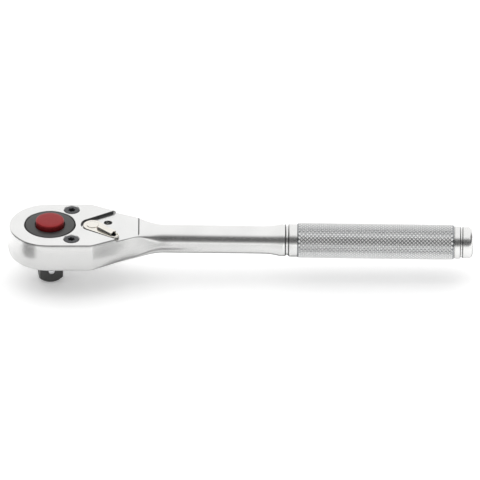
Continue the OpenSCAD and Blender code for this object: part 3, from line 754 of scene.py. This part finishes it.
def makeSelectorShaft():      # modelled with the lever's floor at z 0, as the lever is
    down = head["floor"] + 0.05
    foot, cam, roof = 1.8 - down, 4.3 - down, 12.2 - down
    profile = [(0, foot), (shaft["radius"] - 0.3, foot), (shaft["radius"], foot + 0.3),
               (shaft["radius"], roof), (shaft["journalR"], roof), (shaft["journalR"], 14.9 - down),
               (shaft["sealSeatR"], 14.9 - down), (shaft["sealSeatR"], -0.06), (0, -0.06)]
    piece = turned("selector_shaft", profile, 96)
    lobe = turned("lobe", [(0, cam), (shaft["camR"] - 0.2, cam), (shaft["camR"], cam + 0.2),
                           (shaft["camR"], roof + 0.1), (0, roof + 0.1)], 72)
    lobe.data.transform(Matrix.Translation((shaft["camOut"], 0, 0)))
    shape(piece, lobe, "UNION")
    half = shaft["square"] / 2
    shape(piece, block("square", (-half, -half, -0.3), (half, half, lever["thick"] + 0.3)), "UNION")
    rim = lever["thick"] + 0.03
    dome = [(0, rim), (shaft["domeR"] - 0.15, rim), (shaft["domeR"], rim + 0.12)]
    dome += [(shaft["domeR"] * math.cos(a), rim + 0.15 + 0.6 * math.sin(a))
             for a in (i * math.pi / 20 for i in range(10))] + [(0, rim + 0.75)]
    shape(piece, turned("dome", dome, 72), "UNION")
    detent = turned("detent_hole", [(0, 0), (shaft["detentR"], 0), (shaft["detentR"], 8), (0, 8)], 40)
    turnMesh(detent, -90, "Y")
    detent.data.transform(Matrix.Translation((0, 0, shaft["detentZ"] - down)))
    shape(piece, detent)
    piece.data.transform(leverPlace)
    return finished(piece, "selector", brightChrome, ["selector_cam"])


makeSelectorShaft()


stage = {"floorColour": "#FAFAFA", "floorGlow": 0.3, "topPanel": 5.0, "leftPanel": 2.0, "surround": 1.02,
         "cameraSide": 0.13, "sides": 0.1}

work(None)
ground = cadBox[0].z - 0.0005
bpy.ops.mesh.primitive_plane_add(size=8, location=(0, 0, ground))
floor = bpy.context.object
floor.name = "studio_floor"
floorPaint, floorShader = startMaterial("floor_paint")
floorShader.inputs["Base Color"].default_value = linearColour(stage["floorColour"])
floorShader.inputs["Roughness"].default_value = 0.8
floorShader.inputs["Emission Color"].default_value = (1, 1, 1, 1)
floorShader.inputs["Emission Strength"].default_value = stage["floorGlow"]
floor.data.materials.append(floorPaint)


def panel(name, place, look, width, depth, power):
    light = bpy.data.lights.new(name, "AREA")
    light.shape = "RECTANGLE"
    light.size, light.size_y, light.energy = width, depth, power
    lamp = bpy.data.objects.new(name, light)
    bpy.context.collection.objects.link(lamp)
    lamp.location = place
    lamp.rotation_euler = (Vector(look) - Vector(place)).to_track_quat("-Z", "Y").to_euler()
    lamp.visible_glossy = False


# a soft dark card that only reflections see
def flag(name, place, length, width, angle, grey, upright=False):
    work(None)
    bpy.ops.mesh.primitive_plane_add(size=2, location=place)
    card = bpy.context.object
    card.name = name
    card.scale = (length, width, 1)
    card.rotation_euler = (math.pi / 2 if upright else 0, 0, math.radians(angle))
    card.visible_camera = card.visible_diffuse = card.visible_shadow = card.visible_transmission = False
    paint, shader = startMaterial(name + "_paint")
    shader.inputs["Base Color"].default_value = (0.02, 0.02, 0.02, 1)
    place = addNode(paint, "ShaderNodeTexCoord", {}).outputs["Object"]
    halo = addNode(paint, "ShaderNodeTexGradient", {"Vector": place},
                   gradient_type="SPHERICAL").outputs["Fac"]
    fade = addNode(paint, "ShaderNodeMapRange", {"Value": halo, "From Max": 0.5, "To Max": grey},
                   interpolation_type="SMOOTHSTEP")
    paint.node_tree.links.new(fade.outputs["Result"], shader.inputs["Alpha"])
    card.data.materials.append(paint)


middle = (0.1, 0, 0)
panel("top_panel", (0.1, 0.2, 1.4), middle, 2.2, 1.2, stage["topPanel"])
panel("left_panel", (-1.3, -0.3, 0.7), middle, 1.0, 1.0, stage["leftPanel"])
flag("front_flag", (0.0, -0.095, ground + 0.00005), 0.200, 0.150, 0, 0.26)
# the card under the handle is a painted shadow, standing in for the shade beneath it, seen only in
# reflections
flag("under_shadow_card", (0.130, 0.022, ground + 0.0001), 0.190, 0.028, 0, 0.93)
flag("neck_flag", (0.050, -0.017, ground + 0.00015), 0.032, 0.011, -10, 0.6)
flag("left_flag", (-0.0425, -0.0425, 0.012), 0.022, 0.070, 125.5, 0.62, upright=True)
flag("right_flag", (0.0583, -0.0431, 0.012), 0.012, 0.070, 53, 0.42, upright=True)

world = bpy.data.worlds.new("studio")
bpy.context.scene.world = world
world.use_nodes = True
sky = addNode(world, "ShaderNodeTexCoord", {}).outputs["Generated"]


# 1 away from a direction, falling to deep close to it; a small narrow spreads it along X
def darkSide(towards, inner, outer, deep, narrow=1.0):
    aim = Vector(towards).normalized()
    squeezed = addNode(world, "ShaderNodeVectorMath", {0: sky, 1: (narrow, 1, 1)},
                       operation="MULTIPLY").outputs[0]
    ray = addNode(world, "ShaderNodeVectorMath", {0: squeezed}, operation="NORMALIZE").outputs[0]
    facing = addNode(world, "ShaderNodeVectorMath", {0: ray, 1: aim},
                     operation="DOT_PRODUCT").outputs["Value"]
    return addNode(world, "ShaderNodeMapRange", {
        "Value": facing, "From Min": math.cos(math.radians(outer)), "From Max": math.cos(math.radians(inner)),
        "To Min": 1.0, "To Max": deep}, interpolation_type="SMOOTHSTEP").outputs["Result"]


level = darkSide((0, -1, 0.6), 10, 37, stage["cameraSide"], 0.25)
for side in (-1, 1):
    level = addNode(world, "ShaderNodeMath", {0: level, 1: darkSide((side, 0, 0.05), 24, 46, stage["sides"])},
                    operation="MULTIPLY").outputs["Value"]
level = addNode(world, "ShaderNodeMath", {0: level, 1: stage["surround"]},
                operation="MULTIPLY").outputs["Value"]
world.node_tree.nodes["Background"].inputs["Color"].default_value = (1, 1, 1, 1)
world.node_tree.links.new(level, world.node_tree.nodes["Background"].inputs["Strength"])
bpy.context.scene.view_settings.view_transform = "Standard"

view = {"tilt": 31.6, "lens": 1200.0, "distance": 8.744, "target": (0.1038, 0, 0.00714)}
tilt = math.radians(view["tilt"])
cameraData = bpy.data.cameras.new("camera")
cameraData.lens, cameraData.sensor_width = view["lens"], 36
cameraData.clip_end = 20
camera = bpy.data.objects.new("camera", cameraData)
bpy.context.collection.objects.link(camera)
camera.location = Vector(view["target"]) + view["distance"] * Vector((0, -math.cos(tilt), math.sin(tilt)))
camera.rotation_euler = (math.pi / 2 - tilt, 0, 0)
bpy.context.scene.camera = camera
